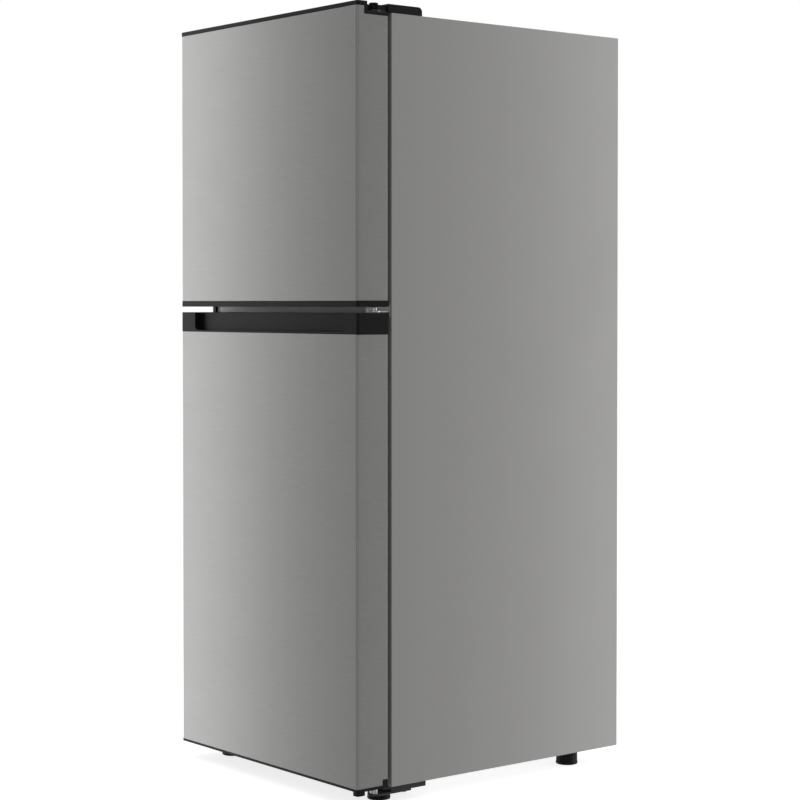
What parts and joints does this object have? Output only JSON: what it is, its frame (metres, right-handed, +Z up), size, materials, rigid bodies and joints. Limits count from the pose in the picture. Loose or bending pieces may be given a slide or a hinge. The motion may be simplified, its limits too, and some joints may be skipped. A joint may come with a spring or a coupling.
{
  "type": "top freezer refrigerator",
  "caption": "Upright refrigerator with a freezer over a larger fresh-food compartment, swinging doors with black end caps, a grip recess between them, and small feet.",
  "frame": {"origin": "on the floor, under the centre of the overall bounding box", "axes": "+Z up, -Y out of the doors, +X towards the hinged side"},
  "size_m": [0.545, 0.6124, 1.3667],
  "materials": {
    "case_paint": "satin silver grey",
    "door_steel": "horizontal brushed",
    "zinc_sheet": "zinc coated",
    "hinge_steel": "zinc plated",
    "insulation": "rigid foam",
    "white_liner": "satin",
    "black_plastic": "fine grain",
    "dark_rubber": "soft",
    "clear_plastic": "clear",
    "shelf_glass": "clear",
    "compressor_paint": "black enamel",
    "copper": "drawn copper",
    "coil_metal": "mill"
  },
  "bodies": {
    "cabinet": {"access_cover_screws": "hinge_steel", "back_panel": "zinc_sheet", "bottom_hinge": "hinge_steel", "bottom_panel": "zinc_sheet", "cabinet_wrap": "case_paint", "compressor": "compressor_paint", "compressor_base_plate": "zinc_sheet", "compressor_grommets": "dark_rubber", "compressor_relay_box": "black_plastic", "control_housing": "white_liner", "crisper_cover": "shelf_glass", "defrost_heater": "hinge_steel", "drip_tray": "black_plastic", "evaporator": "coil_metal", "evaporator_cover": "white_liner", "fan_motor": "black_plastic", "filter_drier": "copper", "foam_insulation": "insulation", "freezer_liner": "white_liner", "freezer_shelf": "white_liner", "fridge_air_duct": "white_liner", "fridge_liner": "white_liner", "fridge_shelf_glass": "shelf_glass", "fridge_shelf_trims": "white_liner", "front_base_rail": "case_paint", "front_cross_rails": "case_paint", "hinge_bolts": "hinge_steel", "hinge_hole_plug": "black_plastic", "ice_tray_frame": "white_liner", "lamp_lens": "clear_plastic", "middle_hinge": "hinge_steel", "power_inlet_box": "black_plastic", "rear_access_cover": "zinc_sheet", "rear_feet": "black_plastic", "refrigerant_pipes": "copper", "top_hinge_bracket": "hinge_steel", "top_hinge_cover": "black_plastic"},
    "freezer_door": {"freezer_door_skin": "door_steel", "freezer_door_top_cap": "black_plastic", "freezer_door_bottom_cap": "black_plastic", "freezer_door_foam": "insulation", "freezer_door_liner": "white_liner", "freezer_door_gasket": "dark_rubber", "freezer_door_bins": "clear_plastic"},
    "fridge_door": {"fridge_door_skin": "door_steel", "fridge_door_top_cap": "black_plastic", "fridge_door_bottom_cap": "black_plastic", "fridge_door_foam": "insulation", "fridge_door_liner": "white_liner", "fridge_door_gasket": "dark_rubber", "fridge_door_bins": "clear_plastic", "bottle_bin": "clear_plastic", "egg_tray": "white_liner"},
    "crisper": {"crisper_drawer": "clear_plastic"},
    "ice_box": {"ice_bin": "clear_plastic"},
    "twist_tray": {"ice_tray": "white_liner"},
    "fan": {"fan_impeller": "black_plastic"},
    "temperature_dial": {"temperature_knob": "white_liner"},
    "left_foot": {"levelling_foot_left": "black_plastic"},
    "right_foot": {"levelling_foot_right": "black_plastic"}
  },
  "joints": [
    {"name": "freezer_door_hinge", "type": "hinge", "parent": "cabinet", "child": "freezer_door", "pos_m": [0.2585, -0.2614, 1.3508], "axis": [0, 0, 1], "range_deg": [0, 120]},
    {"name": "fridge_door_hinge", "type": "hinge", "parent": "cabinet", "child": "fridge_door", "pos_m": [0.2585, -0.2614, 0.8408], "axis": [0, 0, 1], "range_deg": [0, 120]},
    {"name": "crisper_slide", "type": "slide", "parent": "cabinet", "child": "crisper", "axis": [0, -1, 0], "range_m": [0, 0.17]},
    {"name": "ice_bin_slide", "type": "slide", "parent": "cabinet", "child": "ice_box", "axis": [0, -1, 0], "range_m": [0, 0.14]},
    {"name": "ice_tray_twist", "type": "hinge", "parent": "cabinet", "child": "twist_tray", "pos_m": [-0.2165, -0.0162, 1.2402], "axis": [1, 0, 0], "range_deg": [0, 150], "stiffness_Nm_per_rad": 0.05},
    {"name": "fan_spin", "type": "hinge", "parent": "cabinet", "child": "fan", "pos_m": [0, 0.2192, 1.19017], "axis": [0, 1, 0], "continuous": true},
    {"name": "temperature_dial_turn", "type": "hinge", "parent": "cabinet", "child": "temperature_dial", "pos_m": [0.05225, -0.1152, 0.792], "axis": [0, -1, 0], "range_deg": [0, 270]},
    {"name": "left_foot_thread", "type": "hinge", "parent": "cabinet", "child": "left_foot", "pos_m": [-0.2245, -0.2236, 0.02], "axis": [0, 0, 1], "continuous": true},
    {"name": "right_foot_thread", "type": "hinge", "parent": "cabinet", "child": "right_foot", "pos_m": [0.2245, -0.2236, 0.02], "axis": [0, 0, 1], "continuous": true}
  ],
  "couplings": [
    {"joint": "crisper_slide", "follows": "fridge_door_hinge", "m_per_rad": 0.08},
    {"joint": "ice_bin_slide", "follows": "freezer_door_hinge", "m_per_rad": 0.065}
  ]
}
